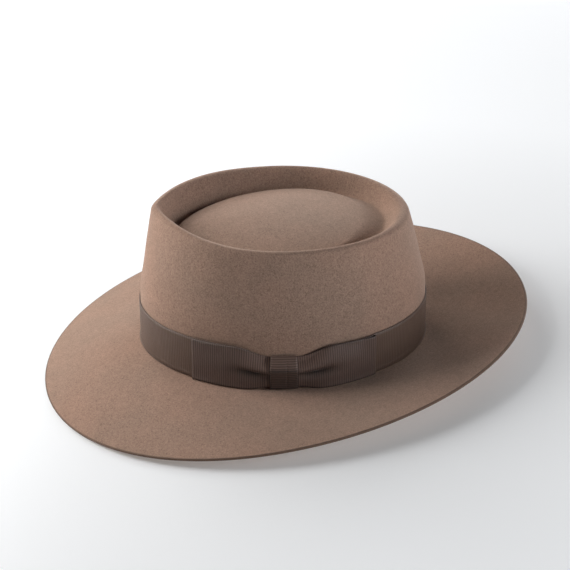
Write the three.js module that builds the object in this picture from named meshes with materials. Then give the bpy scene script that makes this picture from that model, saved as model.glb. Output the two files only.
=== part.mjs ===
// A felt hat with a telescoped, teardrop-creased crown, a wide snapped brim, a ribbed ribbon band
// and a flat bow with a wrapped knot on the wearer's left. Millimetres, +Z up, front towards -Y.
// The hat stands on a table as it would by itself: on the front of its brim edge and on the back
// of its crown opening, so the crown leans back a little. The origin is the middle of its base.
// The forms are first worked out upright, in the crown's own frame: z = 0 where crown meets brim.
import * as THREE from "three";
import { mergeVertices } from "three/addons/utils/BufferGeometryUtils.js";

// Felt
const feltThickness = 1.8;

// Crown, outside of the felt: the oval at the brim, and the crest round the top
const crownLength = 204;
const crownWidth = 169;
const frontNarrowing = 0.013; // the oval is this share narrower at the front, and wider at the back
const breakDip = 1.4; // the break line between crown and brim dips in front, and rises behind
const uprightHeight = 30; // the wall is upright this far up, and leans in above
const leanPower = 1.25; // 1 is a straight lean from there, and more leans more towards the top
const leanPowerBack = 1.4;
const crestLength = 173.3;
const crestWidth = 143;
const crestForward = 2.1; // its middle in front of the oval's
const crestHeightFront = 100.6;
const crestHeightSide = 96.5;
const crestHeightBack = 95.1;
const crestRadiusFront = 3.3; // of the felt's roll from the wall to the crest's top
const crestRadiusSide = 2.8;
const crestRadiusBack = 5;
const wallFlare = 1.2; // how far the wall's foot spreads as it turns into the brim
const wallFlareHeight = 5;

// The crest comes to a point at the front, between two stretches that are pinched in
const pointPinch = 4;
const pointSpan = 68; // degrees of the oval on each side, with the deepest place at a third of them
const pointRound = 4; // degrees of the oval on each side that the rounding of the point takes

// Crease: the groove inside the crest, and the teardrop dome that rises out of it
const creaseDepthFront = 24;
const creaseDepthSide = 19.2;
const creaseDepthBack = 10.5;
const creaseRunFront = 10;
const creaseRunSide = 9.7;
const creaseRunBack = 13.4;
const creasePower = 1.2; // 1 turns down at the crest as it levels out in the groove, and more later
const teardropPower = 0.4; // 0 is a plain oval, and 1 a sharp point at the front
const shoulderRiseFront = 6; // the steep first part of the dome
const shoulderRiseSide = 6;
const shoulderRiseBack = 2.5;
const shoulderShare = 0.09; // how much of the way to the middle that part takes
const shoulderShareBack = 0.25;
const domeRise = 14.2; // the middle of the dome above the groove at the sides

// Brim
const brimWidthEnds = 76.4; // of felt, from the break line to the edge, at the front and back
const brimWidthSides = 77.4;
const brimDropFront = 29.3;
const brimRiseBack = 28.4;
const brimRiseSide = 0.7;
const brimForward = 0.037; // the brim's edge is this share wider in front, and narrower behind
const brimSquareness = 0.014; // and this share wider towards both ends
const brimCurve = 1.25; // 1 is straight from break line to edge, and more turns towards the edge
const restFlattening = 0.7; // how far the felt gives where it rests
const restStrip = 1.4; // width of the strip that is flat there

// Ribbon
const ribbonWidth = 30.4;
const ribbonThickness = 1;
const clearance = 0.3; // between pieces that touch
const bandFoot = 0.5; // lower edge of the band above the break line
const bandTuck = 2; // its top edge is pulled down behind the bow, this far below the bow's at the knot

// Bow
const bowPlace = -5.5; // its middle along the hat's side, back of centre is positive
const bowHalfLength = 65;
const loopFullnessFront = 2.6; // from layer to layer, at the fullest
const loopFullnessBack = 3.9;
const foldFullnessFront = 1.4; // from layer to layer, at the loop's end
const foldFullnessBack = 2.8;
const waistHalf = 9; // the knot is twice this wide
const waistDrop = 7; // of the upper edge at the knot
const waistDropLength = 26; // along each loop
const waistRise = 2.6; // of the lower edge at the knot
const waistRiseLength = 16;
const pleatRidge = 2; // how far the pleat stands out at the knot
const pleatPlace = 0.58; // its ridge, as a share of the ribbon's width from the lower edge
const pleatSlope = 0.42; // shares of the width over which it rises from the upper edge
const pleatUnder = 0.16; // and turns back under its ridge
const knotCorner = 1.6; // inside radius of the knot's two outer edges

// Fineness
const around = 64; // segments round the hat, a multiple of 4

const radians = THREE.MathUtils.degToRad;
const mix = THREE.MathUtils.lerp;
const point = (x, y, z) => new THREE.Vector3(x, y, z);

// 0 to 1 with a level start and end.
function ease(share) {
  const held = THREE.MathUtils.clamp(share, 0, 1);
  return (1 - Math.cos(Math.PI * held)) / 2;
}

// A value that goes from front through side to back as the angle goes round from the front.
function aroundHat(angle, front, side, back) {
  const ahead = Math.cos(angle);
  return mix(side, ahead > 0 ? front : back, ahead * ahead);
}

// A point of the hat's oval: angle 0 is the front, and 90 degrees the wearer's left.
function ovalPoint(angle, length, width) {
  const ahead = Math.cos(angle);
  const taper = 1 - frontNarrowing * ahead;
  return point((width / 2) * Math.sin(angle) * taper, (-length / 2) * ahead, 0);
}

// The way straight out from the oval, level.
function outward(angle, length, width) {
  return point(Math.sin(angle) / width, -Math.cos(angle) / length, 0).normalize();
}

// Wall

const breakHeight = (angle) => -breakDip * Math.cos(angle);

// How far the crest is pinched in, on both sides of its point: most at a third of the span.
function crestPinch(angle) {
  const turned = Math.atan2(Math.sin(angle), Math.cos(angle));
  const beyond = Math.hypot(turned, radians(pointRound)) - radians(pointRound);
  const share = Math.min(beyond / radians(pointSpan), 1);
  return (pointPinch * share * (1 - share) ** 2 * 27) / 4;
}

function crestPoint(angle) {
  const crest = ovalPoint(angle, crestLength, crestWidth);
  crest.addScaledVector(outward(angle, crestLength, crestWidth), -crestPinch(angle));
  crest.y -= crestForward;
  return crest.setZ(aroundHat(angle, crestHeightFront, crestHeightSide, crestHeightBack));
}

// The crest rolls over on an arc. turn is 0 at its top and 90 degrees where it faces outwards.
function crestRoll(angle, turn) {
  const roll = crestPoint(angle);
  const radius = aroundHat(angle, crestRadiusFront, crestRadiusSide, crestRadiusBack);
  roll.addScaledVector(outward(angle, crestLength, crestWidth), radius * Math.sin(turn));
  roll.z -= radius * (1 - Math.cos(turn));
  return roll;
}

const wallTurn = radians(77); // where the crest's roll takes over from the wall
const wallHeight = (angle) => crestRoll(angle, wallTurn).z - breakHeight(angle);

// The outside of the wall, at a height above the break line.
function wallPoint(angle, height) {
  const foot = ovalPoint(angle, crownLength, crownWidth);
  const top = crestRoll(angle, wallTurn).setZ(0);
  const share = Math.max(0, height - uprightHeight) / (wallHeight(angle) - uprightHeight);
  const wall = foot.lerp(top, share ** aroundHat(angle, leanPower, leanPower, leanPowerBack));
  const spread = Math.max(0, 1 - height / wallFlareHeight);
  wall.addScaledVector(outward(angle, crownLength, crownWidth), wallFlare * spread * spread);
  return wall.setZ(breakHeight(angle) + height);
}

// Crease and dome

function groovePoint(angle) {
  const tear = (turn) => Math.sin(turn) * Math.abs(Math.sin(turn / 2)) ** teardropPower;
  const widest = Math.acos(-teardropPower / (2 + teardropPower)); // where tear is greatest
  const halfWidth = crestWidth / 2 - creaseRunSide;
  const tip = -crestLength / 2 - crestForward + creaseRunFront;
  const tail = crestLength / 2 - crestForward - creaseRunBack;
  const depth = aroundHat(angle, creaseDepthFront, creaseDepthSide, creaseDepthBack);
  return point(
    (halfWidth * tear(angle)) / tear(widest),
    (tip + tail) / 2 - ((tail - tip) / 2) * Math.cos(angle),
    crestPoint(angle).z - depth,
  );
}

// From the crest's top, share 0, down to the bottom of the groove, share 1.
function creasePoint(angle, share) {
  const crest = crestPoint(angle);
  const groove = groovePoint(angle);
  const crease = crest.clone().lerp(groove, share);
  return crease.setZ(mix(crest.z, groove.z, ease(share ** creasePower)));
}

const domeTop = crestHeightSide - creaseDepthSide + domeRise;

// From the groove, share 0, up to the middle of the dome, share 1.
function domePoint(angle, share) {
  const groove = groovePoint(angle);
  const middle = point(0, groovePoint(Math.PI / 2).y, domeTop);
  const dome = groove.clone().lerp(middle, share);
  const rise = aroundHat(angle, shoulderRiseFront, shoulderRiseSide, shoulderRiseBack);
  const reach = aroundHat(angle, shoulderShare, shoulderShare, shoulderShareBack);
  const gentle = (domeTop - groove.z - rise) * (1 - (1 - share) ** 2);
  return dome.setZ(groove.z + rise * ease(share / reach) + gentle);
}

// Brim

// The upper side of the brim, from the break line, share 0, to the edge, share 1.
function brimPoint(angle, share) {
  const ahead = Math.cos(angle);
  const swing = ahead > 0 ? -brimDropFront * ahead : -brimRiseBack * ahead;
  const edgeRise = swing + brimRiseSide * (1 - ahead * ahead);
  const width = aroundHat(angle, brimWidthEnds, brimWidthSides, brimWidthEnds);
  const reach = Math.sqrt(width ** 2 - edgeRise ** 2);
  const brim = wallPoint(angle, 0);
  brim.addScaledVector(outward(angle, crownLength, crownWidth), reach * share);
  brim.x *= 1 + (brimForward * ahead + brimSquareness * ahead * ahead) * share;
  return brim.setZ(breakHeight(angle) + edgeRise * share ** brimCurve);
}

// The felt's upper side as rings from the brim's edge to the middle of the dome. Each ring's place
// is a share of its own stretch.
const flatShare = restStrip / brimWidthEnds;
const feltRings = [
  ...[1, 1 - flatShare, 0.76, 0.52, 0.28, 0.12, flatShare].map((share) => ({ form: brimPoint, at: share })),
  ...[0, 0.025, 0.05, 0.32, 0.48, 0.64, 0.8, 0.91].map((share) => ({
    form: (angle, place) => wallPoint(angle, place * wallHeight(angle)),
    at: share,
  })),
  ...[77, 50, 25].map((turn) => ({ form: crestRoll, at: radians(turn) })),
  ...[0, 0.25, 0.5, 0.75, 1].map((share) => ({ form: creasePoint, at: share })),
  ...[shoulderShare / 2, shoulderShare, 0.16, 0.3, 0.55].map((share) => ({ form: domePoint, at: share })),
];

// Rings to a solid: each ring is a closed row of points, and neighbours are joined by quads.
function joinRings(rings, closed) {
  const size = rings[0].length;
  const corners = [];
  const put = (...three) => three.forEach((corner) => corners.push(corner.x, corner.y, corner.z));
  const last = closed ? rings.length : rings.length - 1;
  for (let i = 0; i < last; i++) {
    const here = rings[i];
    const next = rings[(i + 1) % rings.length];
    for (let j = 0; j < size; j++) {
      const k = (j + 1) % size;
      put(here[j], here[k], next[k]);
      put(here[j], next[k], next[j]);
    }
  }
  return corners;
}

function solid(corners) {
  const geometry = new THREE.BufferGeometry();
  geometry.setAttribute("position", new THREE.Float32BufferAttribute(corners, 3));
  const merged = mergeVertices(geometry, 1e-3);
  merged.computeVertexNormals();
  return merged;
}

// The felt's underside is the upper side moved square to itself by the felt's thickness.
function underside(upper, before, after, beside, against) {
  const inwards = after.clone().sub(before);
  const across = beside.clone().sub(against);
  const down = inwards.cross(across).normalize();
  return upper.clone().addScaledVector(down, feltThickness);
}

const angles = Array.from({ length: around }, (_, i) => (2 * Math.PI * i) / around);
const upperRings = feltRings.map(({ form, at }) => angles.map((angle) => form(angle, at)));
const domeMiddle = domePoint(0, 1);
const lowerRings = upperRings.map((ring, i) =>
  ring.map((upper, j) => {
    const before = i > 0 ? upperRings[i - 1][j] : upper;
    const after = i + 1 < upperRings.length ? upperRings[i + 1][j] : domeMiddle;
    return underside(upper, before, after, ring[(j + 1) % around], ring[(j + around - 1) % around]);
  }),
);
const domeMiddleBelow = domeMiddle.clone().setZ(domeMiddle.z - feltThickness);

// The hat rests on a plane under the front of the brim edge and the back of the opening.
const breakRing = feltRings.findIndex(({ form, at }) => form !== brimPoint && at === 0);
const restFront = lowerRings[0][0];
const restBack = lowerRings[breakRing][around / 2];
const lean = Math.atan2(restBack.z - restFront.z, restBack.y - restFront.y);

// From the crown's frame to the table's: lean back, then stand on z = 0 with the middle at the origin.
const leaning = new THREE.Matrix4().makeRotationX(-lean);
const leant = (place) => place.clone().applyMatrix4(leaning);
const tableHeight = leant(restFront).z + restFlattening;
const brimEdge = [...upperRings[0], ...lowerRings[0]].map((place) => leant(place).y);
const middleY = (Math.min(...brimEdge) + Math.max(...brimEdge)) / 2;
const toTable = (place) => leant(place).add(point(0, -middleY, -tableHeight));

// The felt is pressed flat where it rests.
const pressed = (place) => place.setZ(Math.max(0, place.z));
const upperOnTable = upperRings.map((ring) => ring.map(toTable));
const lowerOnTable = lowerRings.map((ring) => ring.map(toTable).map(pressed));

function feltBody() {
  const cap = (middle, ring, facingUp) =>
    ring.flatMap((corner, j) => {
      const next = ring[(j + 1) % around];
      const [first, second] = facingUp ? [corner, next] : [next, corner];
      return [middle, first, second].flatMap((place) => place.toArray());
    });
  const rings = [...lowerOnTable.slice().reverse(), ...upperOnTable];
  return solid([
    ...joinRings(rings, false),
    ...cap(toTable(domeMiddle), upperOnTable.at(-1), true),
    ...cap(toTable(domeMiddleBelow), lowerOnTable.at(-1), false),
  ]);
}

// Ribbon pieces are laid on the wall: a place is given by its angle, height and distance out.
function offWall(angle, height, distance) {
  const out = outward(angle, crownLength, crownWidth);
  return wallPoint(angle, height).addScaledVector(out, distance);
}

const bandTop = bandFoot + ribbonWidth;
const bandOutside = clearance + ribbonThickness;

// How near a place along the band is to the knot: 1 at the knot, and 0 a given length beyond it.
const waist = (along, length) => 1 - ease((Math.abs(along) - waistHalf) / length);
const waistHeight = mix(bandFoot, bandTop, 0.5);
const bowAngle = Math.acos(-bowPlace / (crownLength / 2));

function band() {
  const atWaist = (angle) => offWall(angle, waistHeight, bandOutside);
  const sections = angles.map((angle) => {
    const fromBow = atWaist(angle).distanceTo(atWaist(bowAngle));
    const top = bandTop - (waistDrop + bandTuck) * waist(fromBow, waistDropLength);
    const heights = [0, 0.09, 0.5, 1].map((share) => mix(bandFoot, top, share));
    return [
      ...heights.map((height) => offWall(angle, height, clearance)),
      ...heights.toReversed().map((height) => offWall(angle, height, bandOutside)),
    ];
  });
  return solid(joinRings(sections.map((ring) => ring.map(toTable)), true));
}

// A place on the band's outside, by its distance along the band from the middle of the bow.
const alongBand = (() => {
  const step = radians(1);
  const reach = radians(75);
  const steps = Math.round(reach / step);
  const table = [];
  const onBand = (i) => offWall(bowAngle + i * step, waistHeight, bandOutside);
  for (let i = -steps; i <= steps; i++) {
    const before = table.at(-1);
    table.push({
      angle: bowAngle + i * step,
      length: before ? before.length + onBand(i).distanceTo(onBand(i - 1)) : 0,
    });
  }
  const middle = table[steps].length;
  return (length) => {
    const next = Math.max(1, table.findIndex((row) => row.length - middle >= length));
    const [low, high] = [table[next - 1], table[next]];
    const share = (length + middle - low.length) / (high.length - low.length);
    return mix(low.angle, high.angle, share);
  };
})();

const onBow = (along, height, out) =>
  toTable(offWall(alongBand(along), height, bandOutside + out));

// The bow's ribbon is one closed strip: two layers, folded at both ends and gathered at the waist.
const knotRoom = ribbonThickness + clearance; // the knot's back passes behind the strip
const backLayer = (along) => {
  const raised = 1 - ease((Math.abs(along) - waistHalf) / waistHalf);
  return clearance + ribbonThickness / 2 + knotRoom * raised;
};
const layerGap = ribbonThickness + clearance;

function frontLayer(along) {
  const ahead = along < 0;
  const share = Math.abs(along) / bowHalfLength;
  const fold = ahead ? foldFullnessFront : foldFullnessBack;
  const full = ahead ? loopFullnessFront : loopFullnessBack;
  const crowned = mix(full, fold, ease((share - 0.45) / 0.55));
  const gap = mix(crowned, layerGap, waist(along, waistDropLength));
  return backLayer(along) + Math.max(gap, layerGap);
}

// How far the brim has risen above the break line at some distance out from the wall.
const brimRise = (angle, distance) =>
  brimPoint(angle, distance / brimWidthSides).z - breakHeight(angle);

// The pleat at the waist slopes out from the upper edge to a ridge, and turns back under it.
function pleat(along, share) {
  const reach = share > pleatPlace ? pleatSlope : pleatUnder;
  const beyond = Math.abs(share - pleatPlace) / reach;
  return pleatRidge * waist(along, waistDropLength) * (1 - ease(beyond));
}

function bowStrip() {
  const shares = [0, 0.2, 0.42, 0.5, 0.58, 0.68, 0.78, 0.9, 1];
  const stations = [1, 0.9, 0.75, 0.6, 0.48, 0.36, 0.26, 0.17, 0.08, 0];
  const half = ribbonThickness / 2;
  const straight = [...stations, ...stations.slice(0, -1).map((share) => -share).reverse()];
  const front = straight.map((share) => ({ share, layer: 1 }));
  const back = straight.toReversed().map((share) => ({ share, layer: -1 }));
  const sections = [...front, ...back].map(({ share, layer }) => {
    const along = share * (bowHalfLength - half);
    const out = layer > 0 ? frontLayer(along) : backLayer(along);
    const end = Math.abs(share) === 1 ? Math.sign(share) * half : 0;
    const brim = brimRise(alongBand(along), bandOutside + out + half);
    const lowest = Math.max(bandFoot, brim + clearance);
    const foot = lowest + waistRise * waist(along, waistRiseLength);
    const top = bandTop - waistDrop * waist(along, waistDropLength);
    const place = (up, side) => {
      const ridge = layer > 0 ? pleat(along, up) : 0;
      return onBow(along + side * end, mix(foot, top, up), out + ridge + side * layer * half);
    };
    return [
      ...shares.map((up) => place(up, 1)),
      ...shares.toReversed().map((up) => place(up, -1)),
    ];
  });
  return solid(joinRings(sections, true));
}

// The knot: a short length of the ribbon wrapped round the waist, its ribs running along the hat.
function knot() {
  const inner = {
    foot: bandFoot + waistRise - clearance,
    top: bandTop - waistDrop + clearance,
    back: clearance + ribbonThickness,
    front: frontLayer(0) + ribbonThickness / 2 + pleatRidge + clearance,
  };
  const wrap = (grow) => {
    const section = new THREE.Shape();
    const [low, high] = [inner.foot - grow, inner.top + grow];
    const [near, far] = [inner.back - grow, inner.front + grow];
    const round = knotCorner + grow;
    section.absarc(far - round, high - round, round, 0, Math.PI / 2);
    section.lineTo(near, high);
    section.lineTo(near, low);
    section.absarc(far - round, low + round, round, -Math.PI / 2, 0);
    return section.getPoints(4);
  };
  const [outside, inside] = [wrap(ribbonThickness), wrap(0)];
  const ring = (line, along) => line.map(({ x, y }) => onBow(along, y, x));
  const stations = [-1, -0.5, 0, 0.5, 1].map((share) => share * waistHalf);
  return solid(
    joinRings(
      [
        ...stations.toReversed().map((along) => ring(outside, along)),
        ...stations.map((along) => ring(inside, along)),
      ],
      true,
    ),
  );
}

const felt = new THREE.MeshStandardMaterial({ color: 0x8e6f5f, roughness: 0.95, metalness: 0 });
const ribbon = new THREE.MeshStandardMaterial({ color: 0x4a3a33, roughness: 0.7, metalness: 0 });

const hat = new THREE.Group();
[
  ["felt_body", feltBody, felt],
  ["ribbon_band", band, ribbon],
  ["bow_ribbon", bowStrip, ribbon],
  ["bow_knot", knot, ribbon],
].forEach(([name, form, material]) => {
  const piece = new THREE.Mesh(form(), material);
  piece.name = name;
  hat.add(piece);
});

export default hat;
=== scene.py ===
"""A felt porkpie hat on a pale table, with a ribbed ribbon band and a flat bow at its side.

The forms are worked out upright in the crown's own frame, in millimetres: z = 0 is where the
crown meets the brim, -Y is the front of the hat and +X the wearer's left. The hat is then leant
back and set down on the front of its brim edge and the back of its crown opening, in metres.
"""

import logging
import math
from dataclasses import dataclass, field, replace
from enum import Enum
from typing import Any

import bpy
import numpy as np
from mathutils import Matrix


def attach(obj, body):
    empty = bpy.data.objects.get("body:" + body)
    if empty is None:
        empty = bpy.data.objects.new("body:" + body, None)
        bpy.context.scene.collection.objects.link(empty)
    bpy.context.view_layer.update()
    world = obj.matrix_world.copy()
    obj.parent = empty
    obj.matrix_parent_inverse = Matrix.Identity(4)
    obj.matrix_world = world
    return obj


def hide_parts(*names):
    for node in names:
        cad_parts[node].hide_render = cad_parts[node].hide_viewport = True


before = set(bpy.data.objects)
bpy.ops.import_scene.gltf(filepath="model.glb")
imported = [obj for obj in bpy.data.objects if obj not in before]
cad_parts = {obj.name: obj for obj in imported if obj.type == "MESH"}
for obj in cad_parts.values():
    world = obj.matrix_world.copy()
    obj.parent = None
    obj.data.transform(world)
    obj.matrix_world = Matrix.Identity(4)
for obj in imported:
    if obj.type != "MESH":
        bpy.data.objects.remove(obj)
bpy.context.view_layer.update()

LOG = logging.getLogger("hat")
MM = 0.001

Array = np.ndarray
Colour = tuple[float, float, float]
Trio = tuple[float, float, float]


# Arithmetic on whole arrays


def ease(share: Array) -> Array:
    """0 to 1 with a level start and end: half of a cosine wave, held outside that range."""
    return (1 - np.cos(np.pi * np.clip(share, 0, 1))) / 2


def hump(place: Array, middle: float, spread: float) -> Array:
    """1 at the middle and dying away on both sides: e to minus the squared distance over spread."""
    return np.exp(-(((place - middle) / spread) ** 2))


def mix(low: Any, high: Any, share: Any) -> Any:
    """From low at share 0 to high at share 1, in a straight line."""
    return low + (high - low) * share


def unit(vectors: Array) -> Array:
    """The vectors of the last axis, each divided by its length."""
    return vectors / np.maximum(np.linalg.norm(vectors, axis=-1, keepdims=True), 1e-12)


def from_front(angle: Array) -> Array:
    """The angle away from the front, 0 to pi, on whichever side of the hat it is."""
    return np.abs(np.arctan2(np.sin(angle), np.cos(angle)))


def around_hat(angle: Array, front: float, side: float, back: float) -> Array:
    """A value that goes from front through side to back with the squared cosine of the angle."""
    ahead = np.cos(angle)
    return side + (np.where(ahead > 0, front, back) - side) * ahead**2


def smooth_loop(corners: Array, count: int) -> Array:
    """A smooth closed curve through the corners, at count evenly spaced places.

    Each stretch is a cubic whose slope at a corner is half the step between its neighbours.

    Args:
        corners: One point in each row.
        count: How many points the curve gets.

    Returns:
        The curve's points, one in each row, with equal distances along the curve.
    """
    fine = 24
    share = np.linspace(0, 1, fine, endpoint=False)[None, :, None]
    here, after = corners, np.roll(corners, -1, 0)
    slope = (after - np.roll(corners, 1, 0)) / 2
    next_slope = np.roll(slope, -1, 0)
    curve = (
        (2 * share**3 - 3 * share**2 + 1) * here[:, None]
        + (share**3 - 2 * share**2 + share) * slope[:, None]
        + (3 * share**2 - 2 * share**3) * after[:, None]
        + (share**3 - share**2) * next_slope[:, None]
    ).reshape(-1, corners.shape[1])
    closed = np.vstack([curve, curve[:1]])
    length = np.r_[0, np.cumsum(np.linalg.norm(np.diff(closed, axis=0), axis=1))]
    wanted = np.linspace(0, length[-1], count, endpoint=False)
    return np.stack([np.interp(wanted, length, closed[:, k]) for k in range(closed.shape[1])], 1)


# Meshes


def add_object(name: str, data: bpy.types.ID) -> bpy.types.Object:
    """Makes an object at the origin and puts it in the scene.

    Args:
        name: The object's name.
        data: Its mesh, lamp or camera.

    Returns:
        The object.
    """
    added = bpy.data.objects.new(name, data)
    bpy.context.scene.collection.objects.link(added)
    return added


@dataclass
class Sheaf:
    """A body made of rings of points: each ring closes on itself, and neighbours are joined.

    Attributes:
        rings: Points in metres, as (ring, place in the ring, xyz), ring by ring so that the
            faces point outwards.
        uv: Where each corner lies on the flat cloth, in metres, with one ring and one place more
            than rings so that the closing faces have their own values, or None.
        closed: Whether the last ring is joined to the first one. If not, the ends are capped.
        marks: Named numbers on the points, as (ring, place), for the material to read.
    """

    rings: Array
    uv: Array | None = None
    closed: bool = True
    marks: dict[str, Array] = field(default_factory=dict)

    def _quads(self) -> Array:
        """Four corner numbers for each face between a ring and the next one.

        Returns:
            Corner numbers, four in each row.
        """
        count, size = self.rings.shape[:2]
        last = count if self.closed else count - 1
        ring, place = np.meshgrid(np.arange(last), np.arange(size), indexing="ij")
        after, beside = (ring + 1) % count, (place + 1) % size
        corners = [(ring, place), (ring, beside), (after, beside), (after, place)]
        return np.stack([i * size + j for i, j in corners], -1).reshape(-1, 4)

    def _quad_uv(self) -> Array:
        """The flat place of each face's four corners.

        Returns:
            Places on the flat cloth, one corner in each row.
        """
        size = self.rings.shape[1]
        last = self.uv.shape[0] - 1
        ring, place = np.meshgrid(np.arange(last), np.arange(size), indexing="ij")
        corners = [(0, 0), (0, 1), (1, 1), (1, 0)]
        return np.stack([self.uv[ring + i, place + j] for i, j in corners], -2).reshape(-1, 2)

    def build(self, name: str) -> bpy.types.Object:
        """Makes the mesh.

        Args:
            name: The new object's name.

        Returns:
            The object, at the origin, with smooth shading.
        """
        count, size = self.rings.shape[:2]
        points = self.rings.reshape(-1, 3)
        quads = self._quads()
        loops = quads.ravel()
        starts = np.arange(len(quads)) * 4
        totals = np.full(len(quads), 4)
        if not self.closed:
            first = np.arange(size)
            beside = (first + 1) % size
            middle = len(points)
            points = np.vstack([points, self.rings[0].mean(0), self.rings[-1].mean(0)])
            base = (count - 1) * size
            caps = np.vstack(
                [
                    np.stack([np.full(size, middle), beside, first], 1),
                    np.stack([np.full(size, middle + 1), base + first, base + beside], 1),
                ]
            )
            starts = np.r_[starts, len(loops) + np.arange(len(caps)) * 3]
            totals = np.r_[totals, np.full(len(caps), 3)]
            loops = np.r_[loops, caps.ravel()]
        mesh = bpy.data.meshes.new(name)
        mesh.vertices.add(len(points))
        mesh.vertices.foreach_set("co", points.astype(np.float32).ravel())
        mesh.loops.add(len(loops))
        mesh.loops.foreach_set("vertex_index", loops.astype(np.int32))
        mesh.polygons.add(len(starts))
        mesh.polygons.foreach_set("loop_start", starts.astype(np.int32))
        mesh.polygons.foreach_set("loop_total", totals.astype(np.int32))
        mesh.polygons.foreach_set("use_smooth", np.ones(len(starts), dtype=bool))
        if self.uv is not None:
            flat = np.zeros((len(loops), 2), dtype=np.float32)
            flat[: len(quads) * 4] = self._quad_uv()
            mesh.uv_layers.new(name="cloth").data.foreach_set("uv", flat.ravel())
        for mark, values in self.marks.items():
            whole = np.zeros(len(points), dtype=np.float32)
            whole[: values.size] = values.ravel()
            mesh.attributes.new(mark, "FLOAT", "POINT").data.foreach_set("value", whole)
        mesh.update(calc_edges=True)
        mesh.validate()
        return add_object(name, mesh)


def surface_normals(grid: Array, closed_rows: bool, closed_columns: bool) -> Array:
    """The unit normals of a grid of points: the cross product of the steps along it and across.

    Args:
        grid: Points as (row, column, xyz).
        closed_rows: Whether the last row is next to the first one.
        closed_columns: Whether the last column is next to the first one.

    Returns:
        The normals, as (row, column, xyz).
    """

    def steps(axis: int, closed: bool) -> Array:
        """The step from the point before to the point after, along one axis."""
        if closed:
            return np.roll(grid, -1, axis) - np.roll(grid, 1, axis)
        return np.gradient(grid, axis=axis)

    return unit(np.cross(steps(0, closed_rows), steps(1, closed_columns)))


# The hat's form


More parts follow.
